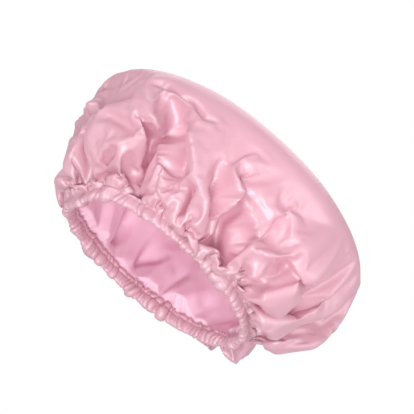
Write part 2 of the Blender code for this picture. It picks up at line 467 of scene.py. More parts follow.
class Gathers:
    """Pinches round the rim, and a rounded lobe of cloth between each two of them."""

    def __init__(self, pinches, chance, drift, height):
        self.pinches = np.sort(np.radians(pinches) % tau)
        self.drift = drift
        count = len(self.pinches)
        self.height = height * chance.uniform(0.5, 1.4, count)
        self.lean = chance.uniform(0.05, 0.15, count)
        self.wave = chance.uniform(0.0, tau, count)

    def lobe(self, angle, place):
        """How far a lobe turns the angle, and how far it stands out, in metres.

        The lobe is a half wave of the way from pinch to pinch, raised to a power near one.
        Its flanks lean over the pinches. The pinches drift sideways along the hem's section.
        """
        drifted = angle + self.drift * (
            np.sin(6.0 * angle + 5.0 * place) + 0.7 * np.sin(17.0 * angle - 8.0 * place)
        )
        here = (np.searchsorted(self.pinches, drifted % tau, side="right") - 1) % len(self.pinches)
        start = self.pinches[here]
        width = (np.roll(self.pinches, -1)[here] - start) % tau
        way = np.clip(((drifted - start) % tau) / width, 0.0, 1.0)
        swell = 1.0 + LOBE_CHANGE * np.sin(3.5 * place + self.wave[here])
        height = width * RIM_RADIUS * self.height[here] * swell * np.sin(pi * way) ** LOBE_POWER
        return -self.lean[here] * width * np.sin(2.0 * pi * way), height


HEM_CHANCE = np.random.default_rng(11)
LOBES = Gathers(
    [*NEAR_PINCHES, *uneven_angles(HEM_CHANCE, 341.0, 566.0, 6.8)][:-1], HEM_CHANCE, 0.016, 0.32
)
RUFFLES = Gathers(uneven_angles(HEM_CHANCE, 0.0, 360.0, 3.0), HEM_CHANCE, 0.018, 0.40)

# The hem's outline at its pinches, from the shell, down the outside, round the bottom and up inside:
# depth outwards from the mouth and height in millimetres, then shares of the lobes and of the ruffles
HEM_OUTLINE = [
    (4.6, 12.8, 1.1, 0.0),
    (4.0, 11.2, 0.9, 0.0),
    (4.1, 8.8, 0.8, 0.2),
    (4.2, 6.0, 0.75, 0.35),
    (3.9, 3.4, 0.7, 0.5),
    (2.9, 2.0, 0.5, 0.6),
    (1.8, 3.2, 0.35, 0.7),
    (1.5, 6.2, 0.35, 1.0),
    (1.8, 9.2, 0.3, 1.0),
    (2.3, 11.4, 0.15, 0.7),
    (2.0, 12.9, 0.15, 1.0),
    (2.6, 14.2, 0.15, 1.1),
]
HEM_ROWS = 26


def hem_station(place):
    """The hem's outline at one place, from 0 at the shell to 1 at the turned-in edge.

    Gives depth, height, the shares of lobes and ruffles, and the outward direction.
    """
    rows = smooth_path(HEM_OUTLINE, 20 * len(HEM_OUTLINE) + 1)
    slopes = normalized(np.gradient(rows[:, :2], axis=0))
    columns = [rows[:, 0] * MM, rows[:, 1] * MM, rows[:, 2], rows[:, 3], -slopes[:, 1], slopes[:, 0]]
    index = place * (len(rows) - 1)
    return [np.interp(index, np.arange(len(rows)), column) for column in columns]


def rim_point(angle, depth, height):
    """A point near the rim: depth is measured outwards from the mouth's oval.

    Beside the forehead a bunch of gathers droops below the rest of the rim and into the mouth.
    """
    droop = np.exp(-(((angle % tau - DROOP_ANGLE) / DROOP_SPREAD) ** 2))
    inwards = depth - DROOP_INWARDS * droop
    return np.stack(
        [
            RIM_MIDDLE + (MOUTH_HALF_LENGTH + inwards) * np.cos(angle),
            (MOUTH_HALF_WIDTH + inwards) * np.sin(angle),
            height - DROOP_DOWN * droop,
        ],
        axis=-1,
    )


def hem_ring(angle, place):
    """A ring of the hem's cloth: the outline, pushed out by the lobes and by the finer ruffles."""
    depth, height, lobes, ruffles, out, up = hem_station(place)
    lobe_turn, lobe_height = LOBES.lobe(angle, place)
    ruffle_turn, ruffle_height = RUFFLES.lobe(angle, place)
    rise = lobes * lobe_height + ruffles * ruffle_height
    turned = angle + lobes * lobe_turn + ruffles * ruffle_turn
    return rim_point(turned, depth + out * rise, height + up * rise)


# The cloth simulation


def ring_disc(rings):
    """A disc of even triangles: ring k has 6 k points. Gives shares, angles and triangles."""
    counts = [1] + [6 * ring for ring in range(1, rings + 1)]
    share = np.repeat(np.arange(rings + 1) / rings, counts)
    angle = np.concatenate([ring_angles(count) for count in counts])
    first = np.concatenate([[0], np.cumsum(counts)])
    triangles = []
    for ring in range(1, rings + 1):
        outer, inner = counts[ring], counts[ring - 1]
        step = np.arange(outer)
        sector, local = step // ring, step % ring
        out_here = first[ring] + step
        out_next = first[ring] + (step + 1) % outer
        in_here = first[ring - 1] + (sector * (ring - 1) + local) % inner
        in_next = first[ring - 1] + (sector * (ring - 1) + local + 1) % inner
        between = local < ring - 1
        triangles.append(np.stack([in_here, out_here, out_next], axis=1))
        triangles.append(np.stack([in_here, out_next, in_next], axis=1)[between])
    return share, angle, np.concatenate(triangles)


def disc_table(points, rings):
    """The points of a ring disc as a table of rings, each with as many columns as the outermost."""
    columns = 6 * rings
    table = np.empty((rings + 1, columns, 3))
    table[0] = points[0]
    for ring in range(1, rings + 1):
        count = 6 * ring
        first = 1 + 3 * ring * (ring - 1)
        own = points[first : first + count]
        place = np.arange(columns) * count / columns
        step = np.floor(place).astype(int)
        around = [own[(step + shift) % count] for shift in (-1, 0, 1, 2)]
        table[ring] = cubic(*around, place - step)
    return table


# The satin's stiffness and damping, and the air that fills the cap
CLOTH_SETTINGS = {
    "quality": 5,
    "air_damping": 1.0,
    "tension_stiffness": 15.0,
    "compression_stiffness": 15.0,
    "shear_stiffness": 5.0,
    "bending_stiffness": 2.5,
    "tension_damping": 1.0,
    "compression_damping": 1.0,
    "shear_damping": 1.0,
    "bending_damping": 0.5,
    "use_pressure": True,
    "uniform_pressure_force": 12.0,
    "pin_stiffness": 1.0,
}


def gathered(start, goal, cut, triangles, hold, frames, gather_frames, mass):
    """The cloth's points after a simulation.

    The cloth's threads keep the lengths of the flat cut. Its points start at start. Those that hold
    names are drawn to goal over gather_frames, wholly where hold is 1, while air fills the cap.
    """
    cloth = add_object(new_mesh("cloth_in_work", start, [triangles]))
    cloth.shape_key_add(name="Start")
    flat_key, goal_key = [cloth.shape_key_add(name=name) for name in ("Cut", "Gathered")]
    for key, points in ((flat_key, cut), (goal_key, goal)):
        key.data.foreach_set("co", points.ravel())
        key.value = 0.0
    goal_key.keyframe_insert("value", frame=1)
    goal_key.value = 1.0
    goal_key.keyframe_insert("value", frame=1 + gather_frames)
    group = cloth.vertex_groups.new(name="hold")
    rounded = np.round(hold, 2)
    for level in np.unique(rounded[rounded > 0.0]):
        group.add(np.nonzero(rounded == level)[0].tolist(), float(level), "REPLACE")
    modifier = cloth.modifiers.new("Gather", "CLOTH")
    settings = modifier.settings
    values = dict(CLOTH_SETTINGS, mass=mass, vertex_group_mass=group.name, rest_shape_key=flat_key)
    for name, value in values.items():
        setattr(settings, name, value)
    settings.effector_weights.gravity = 0.0
    modifier.collision_settings.use_collision = False
    modifier.collision_settings.use_self_collision = False
    modifier.point_cache.frame_start = 1
    modifier.point_cache.frame_end = frames + 1
    scene = bpy.context.scene
    scene.frame_start = 1
    scene.frame_end = frames + 1
    for number in range(1, frames + 1):
        scene.frame_set(number)
    shaped = cloth.evaluated_get(bpy.context.evaluated_depsgraph_get())
    points = read_vectors(shaped.to_mesh().vertices, "co")
    shaped.to_mesh_clear()
    bpy.data.objects.remove(cloth, do_unlink=True)
    scene.frame_set(1)
    return points


def cut_point(share, angle, surplus):
    """A point of the flat cut, whose reach is the wall's way from crown to hem and a surplus."""
    angles = ring_angles(len(WALL_LENGTHS))
    reach = share * surplus * np.interp(angle, angles, WALL_LENGTHS, period=tau)
    return np.stack([reach * np.cos(angle), reach * np.sin(angle), np.zeros_like(reach)], axis=-1)


# How the cloth is gathered: each stage's rings, its frames, and those in which it is drawn in
GATHER_STAGES = ((72, 60, 30), (120, 10, 1))

# From this share on, a point lies on the cloth's edge
EDGE_SHARE = 0.999

BOWL_REACH = 225.0 * MM
BOWL_DEPTH = 105.0 * MM
SEED_AMOUNT = 2.3
CLOTH_MASS = 4.6

# How firmly the crown is held, up to which share, and over how much more the hold falls to nothing
CROWN_HOLD = 0.5
HELD_UNTIL = 0.5
HELD_OVER = 0.2


def bowl_start(share, angle, heights):
    """The wide bowl from which the cloth is gathered, with the folds standing out from it.

    Its section is a parabola. The folds stand along its normals.
    """
    along, across = share * np.cos(angle), share * np.sin(angle)
    bowl = np.stack(
        [
            RIM_MIDDLE + BOWL_REACH * along,
            BOWL_REACH * across,
            HEM_HEIGHT + BOWL_DEPTH * (1.0 - share**2),
        ],
        axis=1,
    )
    slope = 2.0 * BOWL_DEPTH / BOWL_REACH
    outwards = normalized(np.stack([slope * along, slope * across, np.ones_like(share)], axis=1))
    return bowl + outwards * (SEED_AMOUNT * heights)[:, None]


def crown_hold(share):
    """How firmly each ring is held: softly at the crown, wholly at the hem, and free between."""
    hold = CROWN_HOLD * (1.0 - ease((share - HELD_UNTIL) / HELD_OVER))
    return np.where(share < EDGE_SHARE, hold, 1.0)


def gathered_table(surplus):
    """The gathered shell as a table of rings from the crown to the hem.

    A coarse cloth is drawn in from a wide bowl, which makes the folds. A finer one then goes on from
    it, which makes them crisp.
    """
    folds = NEAR_FOLDS + far_folds(np.random.default_rng(4), 18.0, 196.0, 15.0)
    table = None
    for rings, frames, gather_frames in GATHER_STAGES:
        share, angle, triangles = ring_disc(rings)
        edge = share > EDGE_SHARE
        if table is None:
            goal = from_table(WALL, share, angle)
            start = bowl_start(share, angle, fold_heights(folds, goal) * ~edge)
        else:
            start = goal = from_table(table, share, angle)
        goal[edge] = hem_ring(angle[edge], 0.0)
        cut = cut_point(share, angle, surplus)
        hold, mass = crown_hold(share), CLOTH_MASS / rings**2
        points = gathered(start, goal, cut, triangles, hold, frames, gather_frames, mass)
        table = disc_table(points, rings)
    return backed_by_lining(table)


# Depth under the wall that a fold has freely, and how much more a deeper one comes to at most
FREE_DEPTH = 22.0 * MM
SPARE_DEPTH = 14.0 * MM

# How far the nape is let out, over how wide a turn and how much height
LET_OUT = 15.0 * MM
LET_OUT_TURN = radians(38.0)
LET_OUT_RISE = 34.0 * MM

# From this share on, the cloth's depth is left as the simulation gives it
UNEASED_FROM = 0.93


def backed_by_lining(table):
    """The gathered cloth with its deepest folds eased, because the lining lies behind them.

    A fold's depth is its distance under the wall, seen from the middle of the cap. The nape, where
    the gathers draw the cloth in most, is let out. The cloth that meets the hem stays as it is.
    """
    share = np.linspace(0.0, 1.0, len(table))[:, None]
    offsets = table - CENTRE
    away = np.linalg.norm(offsets, axis=2)
    wall = read_map(wall_map(), offsets.reshape(-1, 3)).reshape(away.shape)
    depth = wall - away
    turn = np.arctan2(offsets[:, :, 1], offsets[:, :, 0]) / LET_OUT_TURN
    let_out = LET_OUT * np.exp(-(turn**2) - (offsets[:, :, 2] / LET_OUT_RISE) ** 2)
    over = np.maximum(depth - let_out - FREE_DEPTH, 0.0)
    eased = np.minimum(depth - let_out, FREE_DEPTH) + SPARE_DEPTH * (1.0 - np.exp(-over / SPARE_DEPTH))
    eased += (depth - eased) * ease((share - UNEASED_FROM) / (1.0 - UNEASED_FROM))
    return CENTRE + offsets * ((wall - eased) / away)[:, :, None]


# Meshes made of rings


def ring_faces(counts):
    """Faces between rings that share an axis, from the outermost to the pole.

    Neighbouring rings have as many points, or the inner one has half as many, and then three
    triangles join each pair of steps. The last count is 1 for the pole.
    """
    first = np.concatenate([[0], np.cumsum(counts)])
    faces = []
    for ring, (outer, inner) in enumerate(zip(counts[:-1], counts[1:])):
        step = np.arange(inner)
        if inner == 1:
            step = np.arange(outer)
            rim, after = first[ring] + step, first[ring] + (step + 1) % outer
            faces.append(np.stack([rim, after, np.full(outer, first[ring + 1])], axis=1))
            continue
        in_here, in_next = first[ring + 1] + step, first[ring + 1] + (step + 1) % inner
        if inner == outer:
            here, after = first[ring] + step, first[ring] + (step + 1) % outer
            faces.append(np.stack([here, after, in_next, in_here], axis=1))
            continue
        here, middle = first[ring] + 2 * step, first[ring] + 2 * step + 1
        after = first[ring] + (2 * step + 2) % outer
        faces.append(np.stack([here, middle, in_here], axis=1))
        faces.append(np.stack([middle, in_next, in_here], axis=1))
        faces.append(np.stack([middle, after, in_next], axis=1))
    return faces


def ring_plan(edge_columns, bands):
    """Shares and column counts from the hem inwards: each band halves the columns of the one before."""
    shares, counts = [], []
    columns = edge_columns
    for high, low, rows in bands:
        for share in np.linspace(high, low, rows, endpoint=False):
            shares.append(share)
            counts.append(columns)
        columns //= 2
    return shares + [0.0], counts + [1]


SHELL_BANDS = [(1.0, 0.80, 30), (0.80, 0.44, 42), (0.44, 0.20, 25), (0.20, 0.08, 12), (0.08, 0.0, 8)]
SHELL_COLUMNS = 1120

# From this share on, the simulated cloth is drawn onto the hem's first ring
DRAWN_FROM = 0.94


def shell_rings(surplus, hem_cloth):
    """All points of the shell and its hem, from the turned-in edge to the crown, and its cut's UV.

    Near the hem the simulated cloth is drawn exactly onto the hem's first ring.
    """
    table = gathered_table(surplus)
    points, cut, counts = [], [], []
    angle = ring_angles(SHELL_COLUMNS)
    for place in np.linspace(1.0, 0.0, HEM_ROWS, endpoint=False):
        points.append(hem_ring(angle, place))
        beyond = 1.0 + place * hem_cloth / WALL_LENGTHS.mean()
        cut.append(cut_point(np.full(SHELL_COLUMNS, beyond), angle, surplus))
        counts.append(SHELL_COLUMNS)
    misfit = hem_ring(angle, 0.0) - from_table(table, np.ones(SHELL_COLUMNS), angle)
    shares, columns = ring_plan(SHELL_COLUMNS, SHELL_BANDS)
    for share, count in zip(shares, columns):
        angle = ring_angles(count)
        ring = from_table(table, np.full(count, share), angle)
        if count == SHELL_COLUMNS:
            ring += misfit * ease((share - DRAWN_FROM) / (1.0 - DRAWN_FROM))
        points.append(ring)
        cut.append(cut_point(np.full(count, share), angle, surplus))
        counts.append(count)
    return np.concatenate(points), np.concatenate(cut)[:, :2], counts


# The lining

LINING_BANDS = [(1.0, 0.80, 30), (0.80, 0.44, 22), (0.44, 0.20, 12), (0.20, 0.08, 7), (0.08, 0.0, 5)]
LINING_TUCK = 4
LINING_GAP = 0.5 * MM
LINING_CLEARANCE = 2.8 * MM

# Cells within which the lining follows the satin, near the hem and in the dome
CLOSE_REACH = 3
WIDE_REACH = 7

# Shares of the way to the hem: where the dome's smoothness ends, over how much, and the same of
# the lining's way into the hem
SMOOTH_UNTIL, SMOOTH_OVER = 0.93, 0.25
TUCKED_FROM, TUCKED_OVER = 0.97, 0.02


def lining_rings(shell):
    """The lining's points, from its edge in the hem to the crown, and their column counts.

    In the hem it lies just inside the satin and shares its gathers. Above, it is the smoothed inner
    envelope of the satin, closely at first and then widely, so that its dome is smooth.
    """
    cloth = read_vectors(shell.data.vertices, "co")
    normals = read_vectors(shell.data.vertex_normals, "vector")
    hem_points = HEM_ROWS * SHELL_COLUMNS
    close = innermost(cloth[hem_points:], CLOSE_REACH)
    wide = innermost(cloth[hem_points:], WIDE_REACH)
    beside = cloth - LINING_GAP * normals
    first = hem_points - LINING_TUCK * SHELL_COLUMNS
    points = [beside[first:hem_points]]
    shares, counts = ring_plan(SHELL_COLUMNS, LINING_BANDS)
    for number, (share, count) in enumerate(zip(shares, counts)):
        angle = ring_angles(count)
        offsets = from_table(WALL, np.full(count, share), angle) - CENTRE
        away = np.linalg.norm(offsets, axis=1)
        smooth = ease((SMOOTH_UNTIL - share) / SMOOTH_OVER)
        reach = read_map(close, offsets) * (1.0 - smooth) + read_map(wide, offsets) * smooth
        ring = CENTRE + offsets * ((np.minimum(reach, away) - LINING_CLEARANCE) / away)[:, None]
        tucked = ease((share - TUCKED_FROM) / TUCKED_OVER)
        if tucked > 0.0:
            start = hem_points + number * SHELL_COLUMNS
            ring = ring * (1.0 - tucked) + beside[start : start + SHELL_COLUMNS] * tucked
        points.append(ring)
    return np.concatenate(points), [SHELL_COLUMNS] * LINING_TUCK + counts


# Materials

# Colours of the light that comes through the cloth
SATIN_THROUGH = (0.92, 0.50, 0.63)
FILM_THROUGH = (0.99, 0.72, 0.84)

# Depths of the relief of weave, grain and knit, and of the thread's plies
CLOTH_RELIEF = 0.2 * MM
THREAD_RELIEF = 0.1 * MM


def set_inputs(tree, node, values):
    """Gives inputs of the node, by name or number, a value, a colour or another node's output."""
    for name, value in values.items():
        socket = node.inputs[name]
        if isinstance(value, bpy.types.NodeSocket):
            tree.links.new(value, socket)
        else:
            socket.default_value = (*value, 1.0) if socket.type == "RGBA" else value


def add_node(tree, kind, output, inputs, **settings):
    """The named output of a new node that has these inputs and settings."""
    node = tree.nodes.new(kind)
    for name, value in settings.items():
        setattr(node, name, value)
    set_inputs(tree, node, inputs)
    return node.outputs[output]


def noise(tree, place, scale, detail):
    """A pattern of soft random spots."""
    values = {"Vector": place, "Scale": scale, "Detail": detail}
    return add_node(tree, "ShaderNodeTexNoise", "Fac", values)


def wave(tree, place, scale, distortion=0.0, detail=2.0, bands="X"):
    """A pattern of stripes."""
    values = {"Vector": place, "Scale": scale, "Distortion": distortion, "Detail": detail}
    return add_node(tree, "ShaderNodeTexWave", "Fac", values, bands_direction=bands)


def together(tree, operation, first, second):
    """Two patterns joined by a sum or a product."""
    return add_node(tree, "ShaderNodeMath", "Value", {0: first, 1: second}, operation=operation)


def between(tree, pattern, low, high):
    """The pattern as a number from low to high."""
    values = {"Value": pattern, "To Min": low, "To Max": high}
    return add_node(tree, "ShaderNodeMapRange", "Result", values)


def tinted(tree, pattern, deep, light):
    """The pattern as a colour from the deep one to the light one."""
    values = {"Factor": pattern, "A": deep, "B": light}
    return add_node(tree, "ShaderNodeMix", "Result", values, data_type="RGBA")


def embossed(tree, pattern, strength, depth):
    """The surface's direction where the pattern stands out from it."""
    values = {"Height": pattern, "Strength": strength, "Distance": depth}
    return add_node(tree, "ShaderNodeBump", "Normal", values)


def new_material(name):
    """A node material, its node tree and its Principled shader."""
    material = bpy.data.materials.new(name)
    material.use_nodes = True
    return material, material.node_tree, material.node_tree.nodes["Principled BSDF"]


def let_light_through(tree, shader, share, colour):
    """Mixes the surface with one that scatters the light that falls on its other side."""
    through = add_node(tree, "ShaderNodeBsdfTranslucent", "BSDF", {"Color": colour})
    shaders = {0: share, 1: shader.outputs["BSDF"], 2: through}
    mixed = add_node(tree, "ShaderNodeMixShader", "Shader", shaders)
    tree.links.new(mixed, tree.nodes["Material Output"].inputs["Surface"])


def satin_material(colours):
    """Satin: a fine weave along the cut, a soft long highlight, and a little unevenness of dye."""
    material, tree, shader = new_material("pale pink satin")
    place = add_node(tree, "ShaderNodeUVMap", "UV", {}, uv_map="cut")
    slub = noise(tree, place, 260.0, 4.0)
    weave = together(tree, "ADD", wave(tree, place, 620.0, 1.5), slub)
    surface = {
        "Base Color": tinted(tree, noise(tree, place, 9.0, 3.0), colours.satin_deep, colours.satin),
        "Normal": embossed(tree, weave, 0.10, CLOTH_RELIEF),
        "Roughness": between(tree, slub, 0.31, 0.41),
        "Sheen Weight": 0.40,
        "Sheen Roughness": 0.45,
        "Sheen Tint": (1.0, 0.86, 0.90),
        "IOR": 1.9,
    }
    set_inputs(tree, shader, surface)
    let_light_through(tree, shader, 0.35, SATIN_THROUGH)
    return material


def film_material(colours):
    """Waterproof film: smooth, faintly grained, with a soft broad shine."""
    material, tree, shader = new_material("pink waterproof film")
    place = add_node(tree, "ShaderNodeTexCoord", "Object", {})
    cloud = noise(tree, place, 7.0, 2.0)
    surface = {
        "Base Color": tinted(tree, cloud, colours.film_deep, colours.film),
        "Normal": embossed(tree, noise(tree, place, 900.0, 2.0), 0.06, CLOTH_RELIEF),
        "Roughness": between(tree, cloud, 0.72, 0.82),
    }
    set_inputs(tree, shader, surface)
    let_light_through(tree, shader, 0.3, FILM_THROUGH)
    return material


def elastic_material(colours):
    """Knitted elastic: crosswise knit loops over lengthwise cords, matt and slightly off white, with
    painted shade in the knit's grooves.
    """
    material, tree, shader = new_material("white knitted elastic")
    place = add_node(tree, "ShaderNodeUVMap", "UV", {}, uv_map="strip")
    loops = wave(tree, place, 380.0, 2.0, 1.0)
    knit = together(tree, "MULTIPLY", loops, wave(tree, place, 260.0, bands="Y"))
    # Painted shade: where the knit's pattern is low, in its grooves, the colour is a fifth darker than
    # the elastic's tone.
    deep = [0.8 * value for value in colours.elastic]
    surface = {
        "Base Color": tinted(tree, knit, deep, colours.elastic),
        "Normal": embossed(tree, knit, 0.6, CLOTH_RELIEF),
        "Roughness": 0.85,
    }
    set_inputs(tree, shader, surface)
    return material


def thread_material(colours):
    """Sewing thread: plies that wind round it, with a slight sheen, and painted shade in the grooves
    between the plies.
    """
    material, tree, shader = new_material("pink sewing thread")
    place = add_node(tree, "ShaderNodeUVMap", "UV", {}, uv_map="strand")
    plies = wave(tree, place, 700.0, bands="DIAGONAL")
    # Painted shade: where the plies' pattern is low, in the grooves between them, the colour is a
    # quarter darker than the thread's tone.
    deep = [0.75 * value for value in colours.thread]
    surface = {
        "Base Color": tinted(tree, plies, deep, colours.thread),
        "Normal": embossed(tree, plies, 0.5, THREAD_RELIEF),
        "Roughness": 0.6,
        "Sheen Weight": 0.3,
    }
    set_inputs(tree, shader, surface)
    return material


# Tubes and strips along the rim


def swept(name, rings, closed):
    """A mesh through rings of points, all with one count. Open ends are closed with triangles."""
    count, columns = rings.shape[:2]
    step, column = np.meshgrid(
        np.arange(count if closed else count - 1), np.arange(columns), indexing="ij"
    )
    after_step, after_column = (step + 1) % count, (column + 1) % columns
    corners = [(step, column), (step, after_column), (after_step, after_column), (after_step, column)]
    numbers = [row * columns + place for row, place in corners]
    faces = [np.stack(numbers, axis=-1).reshape(-1, 4)]
    points = rings.reshape(-1, 3)
    if not closed:
        around = np.arange(columns)
        after = (around + 1) % columns
        last = (count - 1) * columns
        middle = np.full(columns, len(points))
        faces.append(np.stack([after, around, middle], axis=1))
        faces.append(np.stack([last + around, last + after, middle + 1], axis=1))
        points = np.concatenate([points, rings[[0, -1]].mean(axis=1)])
    return new_mesh(name, points, faces)


def directions_along(path):
    """Unit directions along a closed path."""
    return normalized(np.roll(path, -1, axis=0) - np.roll(path, 1, axis=0))


def tube(name, path, radius, sides):
    """A closed round tube: each ring lies square to the path. Its UV is in metres along and round."""
    along = directions_along(path)
    aside = normalized(np.cross(along, (0.0, 0.0, 1.0)))
    above = np.cross(aside, along)
    turn = ring_angles(sides)
    ring = np.cos(turn)[None, :, None] * aside[:, None] + np.sin(turn)[None, :, None] * above[:, None]
    mesh = swept(name, path[:, None] + radius * ring, True)
    way = np.cumsum(np.linalg.norm(path - np.roll(path, 1, axis=0), axis=1))
    grid = np.stack(np.meshgrid(way, turn * radius, indexing="ij"), axis=-1)
    set_uv(mesh, "strand", grid.reshape(-1, 2))
    return mesh


STITCH_COUNT = 180
STITCH_POINTS = 12
SEAM_OUTSIDE = 1.0 / (len(HEM_OUTLINE) - 1)
SEAM_INSIDE = 9.0 / (len(HEM_OUTLINE) - 1)


def seam_path(place):
    """The path of the thread that shows on the hem's cloth at one place of its outline.

    Each stitch is a low arch over the cloth, and its two ends dip into the needle's holes.
    """
    angle = ring_angles(STITCH_COUNT * STITCH_POINTS)
    path = hem_ring(angle, place)
    outwards = normalized(np.cross(directions_along(path), (0.0, 0.0, 1.0)))
    side = 1.0 if place < 0.5 else -1.0
    stitch = (np.arange(len(angle)) % STITCH_POINTS) / STITCH_POINTS
    arch = np.sin(pi * stitch) ** 0.5
    lift = THREAD_RADIUS * (1.2 * arch - 1.6 * (1.0 - arch))
    return path + side * outwards * lift[:, None]


ELASTIC_DEPTH = 3.0 * MM
ELASTIC_HALF_HEIGHT = 0.5 * (ELASTIC_HIGH[2] - ELASTIC_LOW[2])
ELASTIC_MIDDLE = 0.5 * (ELASTIC_HIGH[2] + ELASTIC_LOW[2])
ELASTIC_HALF_THICKNESS = 0.3 * MM
LAP = radians(14.0)
LAP_PITCH = 1.0 * MM
ELASTIC_STATIONS = 420
ELASTIC_SIDES = 20
SECTION_POWER = 0.4


def elastic_mesh():
    """The elastic: a strip with rounded edges, a little more than one turn of a spiral.

    Its section is a superellipse. Its ends lap at the nape. Its UV is in metres along and round.
    """
    share = np.linspace(0.0, 1.0, ELASTIC_STATIONS)
    angle = -0.5 * LAP + share * (tau + LAP)
    turn = ring_angles(ELASTIC_SIDES)
    section = [np.sign(wave) * np.abs(wave) ** SECTION_POWER for wave in (np.cos(turn), np.sin(turn))]
    across, upwards = section[0] * ELASTIC_HALF_THICKNESS, section[1] * ELASTIC_HALF_HEIGHT
    depth = ELASTIC_DEPTH + LAP_PITCH * (share[:, None] - 0.5) + across[None]
    height = np.broadcast_to(ELASTIC_MIDDLE + upwards, depth.shape)
    rings = rim_point(np.broadcast_to(angle[:, None], depth.shape), depth, height)
    mesh = swept("knitted_elastic", rings, False)
    way = np.linalg.norm(np.diff(rings.mean(axis=1), axis=0), axis=1)
    along = np.concatenate([[0.0], np.cumsum(way)])
    steps = [np.diff(values, prepend=values[-1:]) for values in (across, upwards)]
    round_it = np.cumsum(np.hypot(*steps))
    grid = np.stack(np.meshgrid(along, round_it, indexing="ij"), axis=-1).reshape(-1, 2)
    set_uv(mesh, "strip", np.concatenate([grid, [[0.0, 0.0], [along[-1], 0.0]]]))
    return mesh


# The bar tack: its thread's radius beside the seam's, its zigzags, and its share of the lap
TACK_THREAD = 0.8
TACK_ZIGZAGS = 26
ZIGZAG_POINTS = 8
TACK_REACH = 0.62


def tack_path():
    """The bar tack's thread: zigzags along the lap on its outside and back along its inside."""
    share = np.linspace(0.0, 1.0, TACK_ZIGZAGS * ZIGZAG_POINTS, endpoint=False)
    angle = TACK_REACH * LAP * (share - 0.5)
    swing = np.arcsin(np.sin(pi * TACK_ZIGZAGS * share)) * 2.0 / pi
    height = ELASTIC_MIDDLE + 0.8 * ELASTIC_HALF_HEIGHT * swing
    reach = 0.5 * LAP_PITCH + ELASTIC_HALF_THICKNESS + 1.1 * THREAD_RADIUS
    outside = rim_point(angle, ELASTIC_DEPTH + reach, height)
    inside = rim_point(angle[::-1], ELASTIC_DEPTH - reach, height[::-1])
    return np.concatenate([outside, inside])


def add_piece(mesh, material, nodes):
    """The mesh as a smooth piece with its material in a slot; the CAD nodes that it stands for are
    hidden.
    """
    piece = add_object(mesh)
    mesh.shade_smooth()
    mesh.materials.append(material)
    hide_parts(*nodes)
    return piece


def bend_with_rim(piece):
    """Bakes the piece's transform into its mesh."""
    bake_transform(piece)


# Settings that a user would change

COLOUR = {"subtype": "COLOR", "min": 0.0, "max": 1.0}
LENGTH = {"unit": "LENGTH", "min": 0.01}
TURN = {"unit": "ROTATION", "subtype": "ANGLE"}
POWER = {"unit": "POWER", "min": 0.0}


class CapSizes(bpy.types.PropertyGroup):
    """Sizes of the cuts."""

    surplus: FloatProperty(
        name="Surplus",
        description="Reach of the satin's cut beside the way from the crown to the hem",
        default=1.07,
        min=1.0,
        max=1.3,
    )
    hem_cloth: FloatProperty(
        name="Hem allowance",
        description="Cloth beyond the seam that is turned in round the elastic",
        default=0.032,
        **LENGTH,
    )
    lining_length: FloatProperty(
        name="Lining length", description="Length of the lining's oval cut", default=0.450, **LENGTH
    )
    lining_width: FloatProperty(
        name="Lining width", description="Width of the lining's oval cut", default=0.420, **LENGTH
    )


class CapColours(bpy.types.PropertyGroup):
    """Colours of the cloths and the thread."""

    satin: FloatVectorProperty(
        name="Satin", description="Satin's lighter tone", default=(0.69, 0.45, 0.52), **COLOUR
    )
    satin_deep: FloatVectorProperty(
        name="Satin, deep", description="Satin's deeper tone", default=(0.66, 0.41, 0.48), **COLOUR
    )
    film: FloatVectorProperty(
        name="Lining", description="Lining's lighter tone", default=(0.99, 0.69, 0.82), **COLOUR
    )
    film_deep: FloatVectorProperty(
        name="Lining, deep", description="Lining's deeper tone", default=(0.99, 0.66, 0.79), **COLOUR
    )
    elastic: FloatVectorProperty(
        name="Elastic", description="Tone of the knit", default=(0.88, 0.86, 0.84), **COLOUR
    )
    thread: FloatVectorProperty(
        name="Thread", description="Tone of the thread", default=(0.80, 0.42, 0.53), **COLOUR
    )


class CapStage(bpy.types.PropertyGroup):
    """The camera and the lights."""

    azimuth: FloatProperty(
        name="Azimuth", description="Where the camera stands round the cap",
        default=radians(-2.05), **TURN,
    )
    elevation: FloatProperty(
        name="Elevation", description="How far the camera stands above the rim",
        default=radians(-24.45), **TURN,
    )
    roll: FloatProperty(
        name="Roll", description="How far the camera is turned about its own axis",
        default=radians(40.0), **TURN,
    )
    distance: FloatProperty(
        name="Distance", description="From the camera to the middle of the cap", default=1.632,
        **LENGTH,
    )
    lens: FloatProperty(
        name="Lens", description="Focal length", default=161.8, min=10.0, unit="CAMERA"
    )
    key_power: FloatProperty(
        name="Key light", description="Power of the high light", default=12.0, **POWER
    )
    side_power: FloatProperty(
        name="Side light", description="Power of the light at the nape's side", default=9.0, **POWER
    )
    front_power: FloatProperty(
        name="Front light", description="Power of the low light that reaches into the mouth",
        default=26.0, **POWER,
    )
    back_power: FloatProperty(
        name="Back light", description="Power of the light behind the cap", default=9.0, **POWER
    )
    surroundings: FloatProperty(
        name="Surroundings", description="Brightness of the white room round the cap", default=0.55,
        min=0.0,
    )


# Operators


class SHOWERCAP_OT_shell(bpy.types.Operator):
    """Gather the satin shell and its hem"""

    bl_idname = "shower_cap.shell"
    bl_label = "Satin Shell"

    def execute(self, context):
        sizes = context.scene.shower_cap_sizes
        points, cut, counts = shell_rings(sizes.surplus, sizes.hem_cloth)
        mesh = new_mesh("satin_shell", points, ring_faces(counts))
        set_uv(mesh, "cut", cut)
        material = satin_material(context.scene.shower_cap_colours)
        shell = add_piece(mesh, material, ["outer_shell_front", "outer_shell_back"])
        bend_with_rim(shell)
        return {"FINISHED"}


